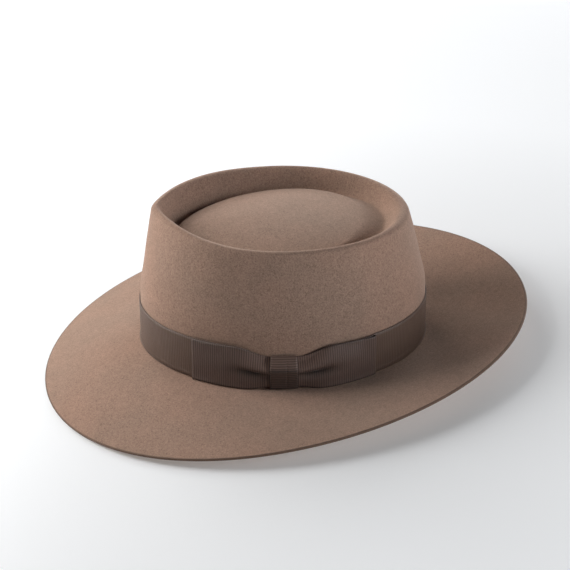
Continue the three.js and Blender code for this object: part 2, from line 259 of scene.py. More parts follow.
@dataclass
class HatForm:
    """The outside of the felt as functions of the angle round the hat and a place on the profile.

    Angle 0 is the front, and 90 degrees the wearer's left. Lengths are in millimetres.
    """

    crown_length: float = 204.0
    crown_width: float = 169.0
    front_narrowing: float = 0.013
    break_dip: float = 1.4
    upright_height: float = 30.0
    lean_power: Trio = (1.25, 1.25, 1.4)
    swell: float = 0.9
    swell_height: float = 42.0
    swell_spread: float = 9.0
    crest_length: float = 173.3
    crest_width: float = 143.0
    crest_forward: float = 2.1
    crest_heights: Trio = (100.6, 96.5, 95.1)
    crest_radius: Trio = (3.3, 2.8, 5.0)
    crest_turn: float = math.radians(77)
    wall_flare: float = 1.2
    flare_height: float = 5.0
    point_pinch: float = 4.0
    point_span: float = math.radians(68)
    point_round: float = math.radians(4)
    crease_depth: Trio = (24.0, 19.2, 10.5)
    crease_run: Trio = (10.0, 9.7, 13.4)
    crease_power: float = 1.2
    teardrop: float = 0.4
    shoulder_rise: Trio = (6.0, 6.0, 2.5)
    shoulder_share: Trio = (0.09, 0.09, 0.25)
    dome_top: float = 91.5
    brim_ends: float = 76.4
    brim_sides: float = 77.4
    brim_drop: float = 29.3
    brim_rise: float = 28.4
    brim_side_rise: float = 0.7
    brim_forward: float = 0.037
    brim_squareness: float = 0.014
    brim_curve: float = 1.25
    lean: float = math.radians(6.722)
    table_shift: tuple[float, float] = (-0.435, 11.134)

    def oval(self, angle: Array, length: float, width: float) -> Array:
        """An egg: half the width times the sine, and half the length times minus the cosine.

        Args:
            angle: Angles round the hat, 0 at its front.
            length: The egg's length.
            width: The egg's width.

        Returns:
            The points, at height 0.
        """
        ahead = np.cos(angle)
        across = width / 2 * np.sin(angle) * (1 - self.front_narrowing * ahead)
        return np.stack(np.broadcast_arrays(across, -length / 2 * ahead, 0 * ahead), -1)

    def outward(self, angle: Array) -> Array:
        """The level direction square to the crown's oval."""
        across, along = np.sin(angle) / self.crown_width, -np.cos(angle) / self.crown_length
        return unit(np.stack(np.broadcast_arrays(across, along, 0 * across), -1))

    def break_height(self, angle: Array) -> Array:
        """The height of the line where crown meets brim, lower in front and higher behind."""
        return -self.break_dip * np.cos(angle)

    def _pinch(self, angle: Array) -> Array:
        """How far the crest is pinched in beside its point, most at a third of the span.

        It is a share times the square of what is left of it, with its peak of 4/27 brought to 1.

        Args:
            angle: Angles round the hat, 0 at its front.

        Returns:
            The distances inwards.
        """
        turned = np.hypot(from_front(angle), self.point_round) - self.point_round
        share = np.minimum(turned / self.point_span, 1)
        return self.point_pinch * share * (1 - share) ** 2 * 27 / 4

    def crest(self, angle: Array) -> Array:
        """The top of the crest: an egg, pinched in beside a point at the front.

        Args:
            angle: Angles round the hat, 0 at its front.

        Returns:
            The points.
        """
        crest = self.oval(angle, self.crest_length, self.crest_width)
        crest = crest - self.outward(angle) * self._pinch(angle)[..., None]
        crest[..., 1] -= self.crest_forward
        crest[..., 2] = around_hat(angle, *self.crest_heights)
        return crest

    def crest_roll(self, angle: Array, turn: Array) -> Array:
        """The crest rolling over: an arc from its top, turn 0, to facing outwards, a right angle.

        Args:
            angle: Angles round the hat, 0 at its front.
            turn: How far the crest has rolled over, in radians.

        Returns:
            The points.
        """
        radius = around_hat(angle, *self.crest_radius)
        roll = self.crest(angle) + self.outward(angle) * (radius * np.sin(turn))[..., None]
        roll[..., 2] -= radius * (1 - np.cos(turn))
        return roll

    def wall_height(self, angle: Array) -> Array:
        """How high the wall is, from the break line to the crest's roll."""
        top = self.crest_roll(angle, np.full_like(angle, self.crest_turn))
        return top[..., 2] - self.break_height(angle)

    def wall(self, angle: Array, height: Array) -> Array:
        """The wall at a height above the break line.

        It is upright, then leans in with a power of the height, swells a little over the band,
        and spreads at its foot with the square of the height that is left.

        Args:
            angle: Angles round the hat, 0 at its front.
            height: Heights above the break line.

        Returns:
            The points.
        """
        foot = self.oval(angle, self.crown_length, self.crown_width)
        top = self.crest_roll(angle, np.full_like(angle, self.crest_turn))
        top[..., 2] = 0
        whole = self.wall_height(angle)
        share = np.maximum(height - self.upright_height, 0) / (whole - self.upright_height)
        power = around_hat(angle, *self.lean_power)
        wall = mix(foot, top, (share**power)[..., None])
        spread = np.maximum(1 - height / self.flare_height, 0) ** 2 * self.wall_flare
        spread = spread + self.swell * hump(height, self.swell_height, self.swell_spread)
        wall = wall + self.outward(angle) * spread[..., None]
        wall[..., 2] = self.break_height(angle) + height
        return wall

    def groove(self, angle: Array) -> Array:
        """The bottom of the crease: a teardrop, sine times a power of half the angle's sine.

        Args:
            angle: Angles round the hat, 0 at its front.

        Returns:
            The points.
        """

        def tear(turn: Any) -> Any:
            """The teardrop's width at an angle, before it is scaled."""
            return np.sin(turn) * np.abs(np.sin(turn / 2)) ** self.teardrop

        widest = math.acos(-self.teardrop / (2 + self.teardrop))
        front, side, back = self.crease_run
        half_width = self.crest_width / 2 - side
        tip = -self.crest_length / 2 - self.crest_forward + front
        tail = self.crest_length / 2 - self.crest_forward - back
        depth = around_hat(angle, *self.crease_depth)
        return np.stack(
            [
                half_width * tear(angle) / tear(widest),
                (tip + tail) / 2 - (tail - tip) / 2 * np.cos(angle),
                self.crest(angle)[..., 2] - depth,
            ],
            -1,
        )

    def crease(self, angle: Array, share: Array) -> Array:
        """From the crest, share 0, down to the groove, share 1, on half a cosine wave.

        Args:
            angle: Angles round the hat, 0 at its front.
            share: Shares of the way down.

        Returns:
            The points.
        """
        crest, groove = self.crest(angle), self.groove(angle)
        crease = mix(crest, groove, share[..., None])
        crease[..., 2] = mix(crest[..., 2], groove[..., 2], ease(share**self.crease_power))
        return crease

    def dome(self, angle: Array, share: Array) -> Array:
        """From the groove, share 0, to the middle, share 1: a steep shoulder and a gentle rise.

        Args:
            angle: Angles round the hat, 0 at its front.
            share: Shares of the way to the middle.

        Returns:
            The points.
        """
        groove = self.groove(angle)
        middle = np.array([0.0, self.groove(np.array(math.pi / 2))[1], self.dome_top])
        dome = mix(groove, middle, share[..., None])
        steep = around_hat(angle, *self.shoulder_rise)
        gentle = (self.dome_top - groove[..., 2] - steep) * (1 - (1 - share) ** 2)
        steep = steep * ease(share / around_hat(angle, *self.shoulder_share))
        dome[..., 2] = groove[..., 2] + steep + gentle
        return dome

    def brim(self, angle: Array, share: Array) -> Array:
        """The brim from the break line, share 0, to its edge, share 1.

        It reaches out square to the crown's oval, and rises or drops with a power of the share
        and with the cosine of the angle, so it dips in front and is turned up behind.

        Args:
            angle: Angles round the hat, 0 at its front.
            share: Shares of the way out.

        Returns:
            The points.
        """
        ahead = np.cos(angle)
        swing = np.where(ahead > 0, -self.brim_drop, -self.brim_rise) * ahead
        rise = swing + self.brim_side_rise * (1 - ahead**2)
        width = around_hat(angle, self.brim_ends, self.brim_sides, self.brim_ends)
        reach = np.sqrt(width**2 - rise**2)
        brim = self.wall(angle, 0 * share) + self.outward(angle) * (reach * share)[..., None]
        spread = self.brim_forward * ahead + self.brim_squareness * ahead**2
        brim[..., 0] *= 1 + spread * share
        brim[..., 2] = self.break_height(angle) + rise * share**self.brim_curve
        return brim

    def set_down(self, points: Array) -> Array:
        """Leans points back, a turn about X, sets them on the table and gives them in metres.

        Args:
            points: Points in the crown's own frame, in millimetres.

        Returns:
            The points on the table, in metres.
        """
        cosine, sine = math.cos(self.lean), math.sin(self.lean)
        x, y, z = points[..., 0], points[..., 1], points[..., 2]
        along, up = self.table_shift
        return np.stack([x, y * cosine + z * sine + along, z * cosine - y * sine + up], -1) * MM


# Finishes


class Value:
    """A number in a material, which Python's operators turn into Math nodes."""

    def __init__(self, shader: "Shader", socket: bpy.types.NodeSocket) -> None:
        """Wraps a socket of a shader's node."""
        self.shader = shader
        self.socket = socket

    def _math(self, operation: str, *numbers: Any, clamp: bool = False) -> "Value":
        """A Math node on the numbers, each a plain one or a Value.

        Args:
            operation: The node's operation.
            numbers: What its sockets get.
            clamp: Whether the result is held between 0 and 1.

        Returns:
            The result.
        """
        inputs = {k: n.socket if isinstance(n, Value) else n for k, n in enumerate(numbers)}
        settings = {"operation": operation, "use_clamp": clamp}
        return Value(self.shader, self.shader.node("ShaderNodeMath", settings, inputs).outputs[0])

    def __add__(self, other: Any) -> "Value":
        """The sum."""
        return self._math("ADD", self, other)

    __radd__ = __add__

    def __sub__(self, other: Any) -> "Value":
        """The difference."""
        return self._math("SUBTRACT", self, other)

    def __rsub__(self, other: Any) -> "Value":
        """The difference the other way round."""
        return self._math("SUBTRACT", other, self)

    def __mul__(self, other: Any) -> "Value":
        """The product."""
        return self._math("MULTIPLY", self, other)

    __rmul__ = __mul__

    def __pow__(self, other: Any) -> "Value":
        """The power."""
        return self._math("POWER", self, other)

    def cosine(self) -> "Value":
        """The cosine of a number in radians."""
        return self._math("COSINE", self)

    def held(self) -> "Value":
        """The number, held between 0 and 1."""
        return self._math("ADD", self, 0.0, clamp=True)


class Shader:
    """A material on one Principled BSDF, whose nodes all come from one method."""

    def __init__(self, name: str, constants: dict[str, Any]) -> None:
        """Starts the material.

        Args:
            name: The material's name.
            constants: What is the same all over the surface, by the shader's socket names.
        """
        self.material = bpy.data.materials.new(name)
        self.material.use_nodes = True
        self.tree = self.material.node_tree
        self.principled = self.tree.nodes["Principled BSDF"]
        for socket, value in constants.items():
            self.principled.inputs[socket].default_value = value

    def node(self, kind: str, settings: dict[str, Any], inputs: dict[Any, Any]) -> bpy.types.Node:
        """Adds a node.

        Args:
            kind: The node's type.
            settings: Its properties, such as a Math node's operation, which are set first.
            inputs: Values, sockets or Values for its input sockets, by name or number.

        Returns:
            The node.
        """
        node = self.tree.nodes.new(kind)
        for name, value in settings.items():
            setattr(node, name, value)
        for key, value in inputs.items():
            value = value.socket if isinstance(value, Value) else value
            if isinstance(value, bpy.types.NodeSocket):
                self.tree.links.new(value, node.inputs[key])
            else:
                node.inputs[key].default_value = value
        return node

    def feed(self, socket: str, source: Any) -> None:
        """Links a socket or Value to one of the shader's own sockets."""
        source = source.socket if isinstance(source, Value) else source
        self.tree.links.new(source, self.principled.inputs[socket])

    def place(self) -> bpy.types.NodeSocket:
        """The place in the object's own space, in metres."""
        return self.node("ShaderNodeTexCoord", {}, {}).outputs["Object"]

    def distance(self, place: bpy.types.NodeSocket) -> Value:
        """The distance of a place from the origin."""
        node = self.node("ShaderNodeVectorMath", {"operation": "LENGTH"}, {0: place})
        return Value(self, node.outputs["Value"])

    def mark(self, name: str) -> Value:
        """A number that the mesh carries on its points."""
        node = self.node("ShaderNodeAttribute", {"attribute_name": name}, {})
        return Value(self, node.outputs["Fac"])

    def noise(
        self,
        place: bpy.types.NodeSocket,
        grain: float,
        detail: float = 2.0,
        roughness: float = 0.5,
        distortion: float = 0.0,
        stretch: Trio = (1.0, 1.0, 1.0),
    ) -> Value:
        """Noise with features of about the grain's size.

        Args:
            place: Where it is read, in metres.
            grain: The size of its features, in metres.
            detail: How many finer layers it has.
            roughness: How strong those are.
            distortion: How much it swirls.
            stretch: By how much the features are drawn out along each axis.

        Returns:
            A number around 0.5.
        """
        scale = tuple(1 / s for s in stretch)
        mapped = self.node("ShaderNodeMapping", {}, {"Vector": place, "Scale": scale}).outputs[0]
        inputs = {
            "Vector": mapped,
            "Scale": 1 / grain,
            "Detail": detail,
            "Roughness": roughness,
            "Distortion": distortion,
        }
        return Value(self, self.node("ShaderNodeTexNoise", {}, inputs).outputs["Fac"])

    def blend(self, low: Any, high: Any, share: Any) -> bpy.types.NodeSocket:
        """A colour between two colours or colour sockets.

        Args:
            low: The colour at share 0.
            high: The colour at share 1.
            share: The share of the second colour.

        Returns:
            The colour's socket.
        """
        low, high = [(*c, 1.0) if isinstance(c, tuple) else c for c in (low, high)]
        settings = {"data_type": "RGBA"}
        return self.node("ShaderNodeMix", settings, {0: share, 6: low, 7: high}).outputs[2]

    def brighten(self, colour: bpy.types.NodeSocket, share: Value) -> bpy.types.NodeSocket:
        """A colour times a number, which may be above 1."""
        inputs = {0: colour, "Scale": share}
        return self.node("ShaderNodeVectorMath", {"operation": "SCALE"}, inputs).outputs[0]

    def bump(self, height: Value, depth: float, strength: float = 1.0) -> None:
        """Makes the surface rise with a height of 0 to 1, by depth metres."""
        inputs = {"Height": height, "Distance": depth, "Strength": strength}
        self.feed("Normal", self.node("ShaderNodeBump", {}, inputs).outputs[0])


@dataclass(frozen=True)
class FeltFinish:
    """Brushed fur felt: matt, with a short nap, fine heather grain and faint broad clouds.

    The sizes of its features are in metres. A hue or light is how much one of them shifts the
    colour or its lightness. The cut colour is a painted shade on the brim's cut edge.
    colour or its lightness.
    """

    warm: Colour = (0.353, 0.218, 0.159)
    cool: Colour = (0.321, 0.212, 0.158)
    # The cut colour is a painted shade, darker than the felt, laid on the brim's cut edge.
    cut: Colour = (0.125, 0.078, 0.058)
    grain: float = 0.0011
    mottle: float = 0.0032
    cloud: float = 0.014
    blush: float = 0.06
    blush_hue: float = 2.4
    cloud_hue: float = 0.7
    cloud_light: float = 0.16
    mottle_light: float = 0.3
    grain_light: float = 1.2
    fibre_light: float = 0.9
    cut_edge_shade_share: float = 0.9
    nap_depth: float = 0.0004
    nap_strength: float = 0.6

    def material(self) -> bpy.types.Material:
        """Makes the material: two tones in broad clouds, under grain and swirled short fibres.

        Returns:
            The material.
        """
        shader = Shader(
            "brushed_felt",
            {
                "Roughness": 0.95,
                "Specular IOR Level": 0.15,
                "Sheen Weight": 0.32,
                "Sheen Roughness": 0.5,
                "Sheen Tint": (0.95, 0.76, 0.64, 1.0),
            },
        )
        place = shader.place()
        blush = shader.noise(place, self.blush, detail=1.0)
        cloud = shader.noise(place, self.cloud, detail=3.0, roughness=0.55)
        mottle = shader.noise(place, self.mottle, detail=2.0, distortion=0.6)
        grain = shader.noise(place, self.grain, detail=3.0, roughness=0.75)
        fibre = shader.noise(place, self.grain * 1.7, detail=2.0, distortion=2.5)
        hue = (blush - 0.5) * self.blush_hue + (cloud - 0.5) * self.cloud_hue + 0.5
        tone = shader.blend(self.cool, self.warm, hue.held())
        light = 1.0 + (grain - 0.5) * self.grain_light + (fibre - 0.5) * self.fibre_light
        light = light + (mottle - 0.5) * self.mottle_light
        tone = shader.brighten(tone, light + (cloud - 0.5) * self.cloud_light)
        # Painted shade: the brim's cut edge is darkened towards the cut colour.
        tone = shader.blend(tone, self.cut, (shader.mark("cut") * self.cut_edge_shade_share).held())
        shader.feed("Base Color", tone)
        shader.bump(grain * 0.5 + fibre * 0.5, self.nap_depth, self.nap_strength)
        return shader.material


@dataclass(frozen=True)
class RibbonFinish:
    """Ribbed ribbon: cords across its width, wrapped in fine silky threads that run along it."""

    name: str
    # The ridge colour is the ribbon's own; the valley colour is darker, a painted shade between the
    # ribs.
    ridge: Colour
    valley: Colour
    rib: float = 0.00162
    rib_power: float = 0.7
    thread: float = 0.00022
    thread_draw: float = 6.0
    thread_light: float = 0.35
    thread_depth: float = 0.00012
    wear: float = 0.009
    wear_light: float = 0.18
    roughness: float = 0.52
    roughness_swing: float = 0.15

    def material(self) -> bpy.types.Material:
        """Makes the material: a cosine of the distance along the ribbon darkens its valleys with
        painted shade, and the mark tone adds painted highlight and painted shade.

        Returns:
            The material.
        """
        shader = Shader(
            self.name,
            {
                "Specular IOR Level": 0.5,
                "Sheen Weight": 0.2,
                "Sheen Roughness": 0.35,
                "Sheen Tint": (0.9, 0.78, 0.7, 1.0),
            },
        )
        cloth = shader.node("ShaderNodeUVMap", {"uv_map": "cloth"}, {}).outputs[0]
        along = Value(shader, shader.node("ShaderNodeSeparateXYZ", {}, {0: cloth}).outputs[0])
        wave = ((along * (2 * math.pi / self.rib)).cosine() * 0.5 + 0.5) ** self.rib_power
        drawn = (self.thread_draw, 1.0, 1.0)
        thread = shader.noise(cloth, self.thread, detail=1.0, stretch=drawn)
        worn = shader.noise(shader.place(), self.wear, detail=2.0)
        # Painted shade: the valleys between the ribs take the darker colour.
        tone = shader.blend(self.valley, self.ridge, wave)
        light = 1.0 + (thread - 0.5) * self.thread_light + (worn - 0.5) * self.wear_light
        # The mark tone adds painted highlight and painted shade to the colour.
        shader.feed("Base Color", shader.brighten(tone, light + shader.mark("tone")))
        rough = self.roughness + (thread - 0.5) * self.roughness_swing
        shader.feed("Roughness", rough + (1.0 - wave) * self.roughness_swing)
        shader.bump(thread, self.thread_depth, 0.5)
        return shader.material


@dataclass(frozen=True)
class TableFinishAndPaintedGlow:
    """A plain pale table top with a painted glow, which is dimmest under the hat as a painted
    shadow.
    """

    colour: Colour = (0.77, 0.78, 0.80)
    cloud: float = 0.4
    cloud_light: float = 1.01
    # The dimmest glow, under the hat, is a painted shadow.
    painted_shadow_glow: Colour = (0.19, 0.186, 0.18)
    glow: Colour = (0.34, 0.34, 0.34)
    far_glow: Colour = (0.84, 0.85, 0.86)
    painted_shadow_reach: tuple[float, float] = (0.17, 0.4)
    far_reach: tuple[float, float] = (0.8, 1.8)

    def material(self) -> bpy.types.Material:
        """Makes the material: one matt colour with very faint clouds, and a glow.

        The glow is painted light. It is weakest under the hat, a painted shadow, and rises in two
        straight steps with the distance from it, the second one where the lamps no longer reach.

        Returns:
            The material.
        """
        shader = Shader(
            "pale_table", {"Roughness": 0.9, "Specular IOR Level": 0.1, "Emission Strength": 1.0}
        )
        place = shader.place()
        cloud = shader.noise(place, self.cloud, detail=2.0)
        paler = tuple(c * self.cloud_light for c in self.colour)
        shader.feed("Base Color", shader.blend(self.colour, paler, cloud))
        # Painted shadow: the glow starts dimmest under the hat and brightens outwards.
        glow = self.painted_shadow_glow
        steps = ((self.glow, self.painted_shadow_reach), (self.far_glow, self.far_reach))
        for brighter, (near, far) in steps:
            share = (shader.distance(place) - near) * (1 / (far - near))
            glow = shader.blend(glow, brighter, share.held())
        shader.feed("Emission Color", glow)
        return shader.material

    def backdrop(self) -> bpy.types.Material:
        """Makes the backdrop's material, which has the far table's glow and nothing else.

        Returns:
            The material.
        """
        constants = {
            "Base Color": (0.0, 0.0, 0.0, 1.0),
            "Specular IOR Level": 0.0,
            "Emission Color": (*self.far_glow, 1.0),
            "Emission Strength": 1.0,
        }
        return Shader("pale_backdrop", constants).material


# The pieces


@dataclass
class FeltBody:
    """Crown and brim, blocked from one piece of felt, with a cut brim edge.

    Lengths are in millimetres, and the rows are those of the mesh on each stretch of the profile.
    """

    form: HatForm
    thickness: float = 1.8
    edge_round: float = 0.55
    edge_powers: tuple[float, float] = (0.6, 0.7)
    segments: int = 320
    brim_rows: int = 50
    wall_rows: int = 40
    roll_rows: int = 9
    crease_rows: int = 24
    shoulder_rows: int = 11
    dome_rows: int = 16
    edge_rows: int = 7
    brim_crowding: float = 1.15
    wall_crowding: float = 1.25
    shoulder_end: float = 0.2
    dome_end: float = 0.97

    def _upper(self) -> Array:
        """The upper side, as rows from the brim's edge to near the middle of the dome.

        Returns:
            The points, as (row, place in the row, xyz), in millimetres.
        """
        form = self.form
        angle = np.linspace(0, 2 * np.pi, self.segments, endpoint=False)[None, :]
        reach = 1 - self.edge_round / form.brim_ends
        inwards = np.linspace(1, 0, self.brim_rows, endpoint=False)
        upwards = np.linspace(0, 1, self.wall_rows, endpoint=False)
        shoulder = np.linspace(0, self.shoulder_end, self.shoulder_rows, endpoint=False)
        dome = np.linspace(self.shoulder_end, self.dome_end, self.dome_rows)
        stretches = [
            (form.brim, reach - (1 - inwards) ** self.brim_crowding * reach),
            (self._wall, upwards**self.wall_crowding),
            (form.crest_roll, np.linspace(form.crest_turn, 0, self.roll_rows, endpoint=False)),
            (form.crease, np.linspace(0, 1, self.crease_rows, endpoint=False)),
            (form.dome, np.r_[shoulder, dome]),
        ]
        rows = []
        for method, shares in stretches:
            where, share = np.broadcast_arrays(angle, shares[:, None])
            rows.append(method(where.copy(), share.copy()))
        return np.concatenate(rows)

    def _wall(self, angle: Array, share: Array) -> Array:
        """The wall by a share of its height."""
        return self.form.wall(angle, share * self.form.wall_height(angle))

    def _edge(self, upper: Array, lower: Array) -> Array:
        """The cut edge: a flattened half circle from the underside round to the upper side.

        Args:
            upper: The outermost row of the upper side.
            lower: The outermost row of the underside.

        Returns:
            The edge's rows.
        """
        turn = np.linspace(-np.pi / 2, np.pi / 2, self.edge_rows + 2)[1:-1, None, None]
        middle = (upper + lower) / 2
        half = (upper - lower) / 2
        out = self.form.outward(np.linspace(0, 2 * np.pi, self.segments, endpoint=False))
        across, upright = self.edge_powers
        bulge = self.edge_round * np.abs(np.cos(turn)) ** across
        lift = np.sign(np.sin(turn)) * np.abs(np.sin(turn)) ** upright
        return middle + half * lift + out * bulge

    def build(self) -> bpy.types.Object:
        """Makes the shell: both sides, the cut edge, and the underside pressed on the table.

        Returns:
            The shell's object.
        """
        upper = self._upper()
        lower = upper + surface_normals(upper, False, True) * self.thickness
        edge = self._edge(upper[0], lower[0])
        rings = self.form.set_down(np.concatenate([lower[::-1], edge, upper]))
        below = len(lower) + len(edge) // 2
        rings[:below, :, 2] = np.maximum(rings[:below, :, 2], 0.0)
        # The cut edge's rows carry the mark where the felt's painted shade goes.
        cut = np.zeros(rings.shape[:2])
        cut[len(lower) - 1 : len(lower) + len(edge) + 1] = 1.0
        return Sheaf(rings, closed=False, marks={"cut": cut}).build("felt_hat")

    def dress(self, piece: bpy.types.Object, felt: bpy.types.Material) -> None:
        """Gives the shell its felt, and hides the plain node that it stands for.

        Args:
            piece: The shell's object.
            felt: Its material.
        """
        piece.data.materials.append(felt)
        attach(piece, "root")
        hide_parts("felt_body")


@dataclass
class Ribbon:
    """A length of ribbed ribbon that is laid along a surface and closes on itself."""

    thickness: float = 0.7
    rib_height: float = 0.22
    selvage: float = 0.7

    def mesh(
        self, name: str, middle: Array, width: float, rib: float, tone: Array | float = 0.0
    ) -> bpy.types.Object:
        """Gives a grid of points its two sides, with ribs on the outer one.

        A rib's height is the square root of a cosine's size along the ribbon, and dies away
        towards both edges.

        Args:
            name: The new object's name.
            middle: The ribbon's middle layer in metres, as (place along, place across, xyz).
            width: The ribbon's own width, in metres.
            rib: The distance between ribs along the ribbon, in metres.
            tone: Painted highlight above 0 and painted shade below 0 on the outer side, as (place
                along, place across).

        Returns:
            The object, with the map "cloth" that holds each place on the flat ribbon in metres.
        """
        normal = surface_normals(middle, True, False)
        step = np.linalg.norm(np.roll(middle, -1, 0) - middle, axis=-1).mean(1)
        length = np.r_[0, np.cumsum(step)]
        length *= round(length[-1] / rib) * rib / length[-1]
        across = np.linspace(0, width, middle.shape[1])
        near_edge = np.minimum(across, width - across)
        fade = np.clip(near_edge / (self.selvage * MM), 0, 1)
        rounded = np.sqrt(np.abs(np.cos(np.pi * length[:-1] / rib)))
        rise = (self.thickness / 2 - self.rib_height * (1 - rounded[:, None] * fade)) * MM
        outer = middle + normal * rise[..., None]
        inner = middle - normal * self.thickness / 2 * MM
        rings = np.concatenate([inner, outer[:, ::-1]], 1)
        flat = np.concatenate([across, across[::-1], across[:1]])
        uv = np.stack(np.meshgrid(length, flat, indexing="ij"), -1)
        painted_light_marks = np.zeros(rings.shape[:2])
        painted_light_marks[:, middle.shape[1] :] = np.broadcast_to(tone, middle.shape[:2])[:, ::-1]
        return Sheaf(rings, uv=uv, marks={"tone": painted_light_marks}).build(name)

    def dress(self, piece: bpy.types.Object, node: str, cloth: bpy.types.Material) -> None:
        """Gives a piece its ribbon, and hides the plain node that it stands for.

        Args:
            piece: The piece's object.
            node: The plain node.
            cloth: The ribbon's material.
        """
        piece.data.materials.append(cloth)
        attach(piece, "root")
        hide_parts(node)


@dataclass
class Band:
    """The ribbon round the foot of the crown, in millimetres."""

    form: HatForm
    ribbon: Ribbon
    width: float = 30.4
    foot: float = 0.5
    off_wall: float = 0.8
    rib: float = RibbonFinish.rib
    bow_place: float = -5.5
    tuck: float = 10.0
    tuck_reach: float = 36.0
    back_tuck: float = 2.2
    bow_reach: float = 66.0
    tuck_end: float = 12.0
    places: int = 2040
    rows: int = 14

    def layer(self, angle: Array, height: Array, out: Array) -> Array:
        """A place by its angle, its height above the break line and its distance off the wall."""
        plain = replace(self.form, swell=0.0)
        return plain.wall(angle, height) + self.form.outward(angle) * out[..., None]

    def bow_angle(self) -> float:
        """Where the middle of the bow is, as an angle round the hat."""
        return math.acos(-self.bow_place / (self.form.crown_length / 2))

    def _top(self, angle: Array) -> Array:
        """The upper edge's height, pulled down behind the knot and a little behind the back loop.

        Args:
            angle: Angles round the hat, 0 at its front.

        Returns:
            The heights above the break line.
        """
        line, middle = (
            self.layer(a, np.full_like(a, self.width / 2), np.zeros_like(a))
            for a in (angle, np.array([self.bow_angle()]))
        )
        far = np.linalg.norm(line - middle, axis=-1) * np.sign(angle - self.bow_angle())
        dip = self.tuck * (1 - ease(np.abs(far) / self.tuck_reach))
        ending = ease((far - self.bow_reach) / self.tuck_end + 1)
        behind_loop = ease(far / self.tuck_reach) * (1 - ending)
        return self.foot + self.width - dip - self.back_tuck * behind_loop

    def build(self) -> bpy.types.Object:
        """Makes the band: one ring round the wall, six rows to a rib.

        Returns:
            The band's object.
        """
        angle = np.linspace(0, 2 * np.pi, self.places, endpoint=False)
        up = np.linspace(0, 1, self.rows)[None, :]
        height = mix(self.foot, self._top(angle)[:, None], up)
        angle = np.broadcast_to(angle[:, None], height.shape).copy()
        middle = self.layer(angle, height, np.full_like(angle, self.off_wall))
        return self.ribbon.mesh(
            "ribbon_round_crown", self.form.set_down(middle), self.width * MM, self.rib
        )

    def dress(self, piece: bpy.types.Object, cloth: bpy.types.Material) -> None:
        """Dresses the band in its ribbon."""
        self.ribbon.dress(piece, "ribbon_band", cloth)


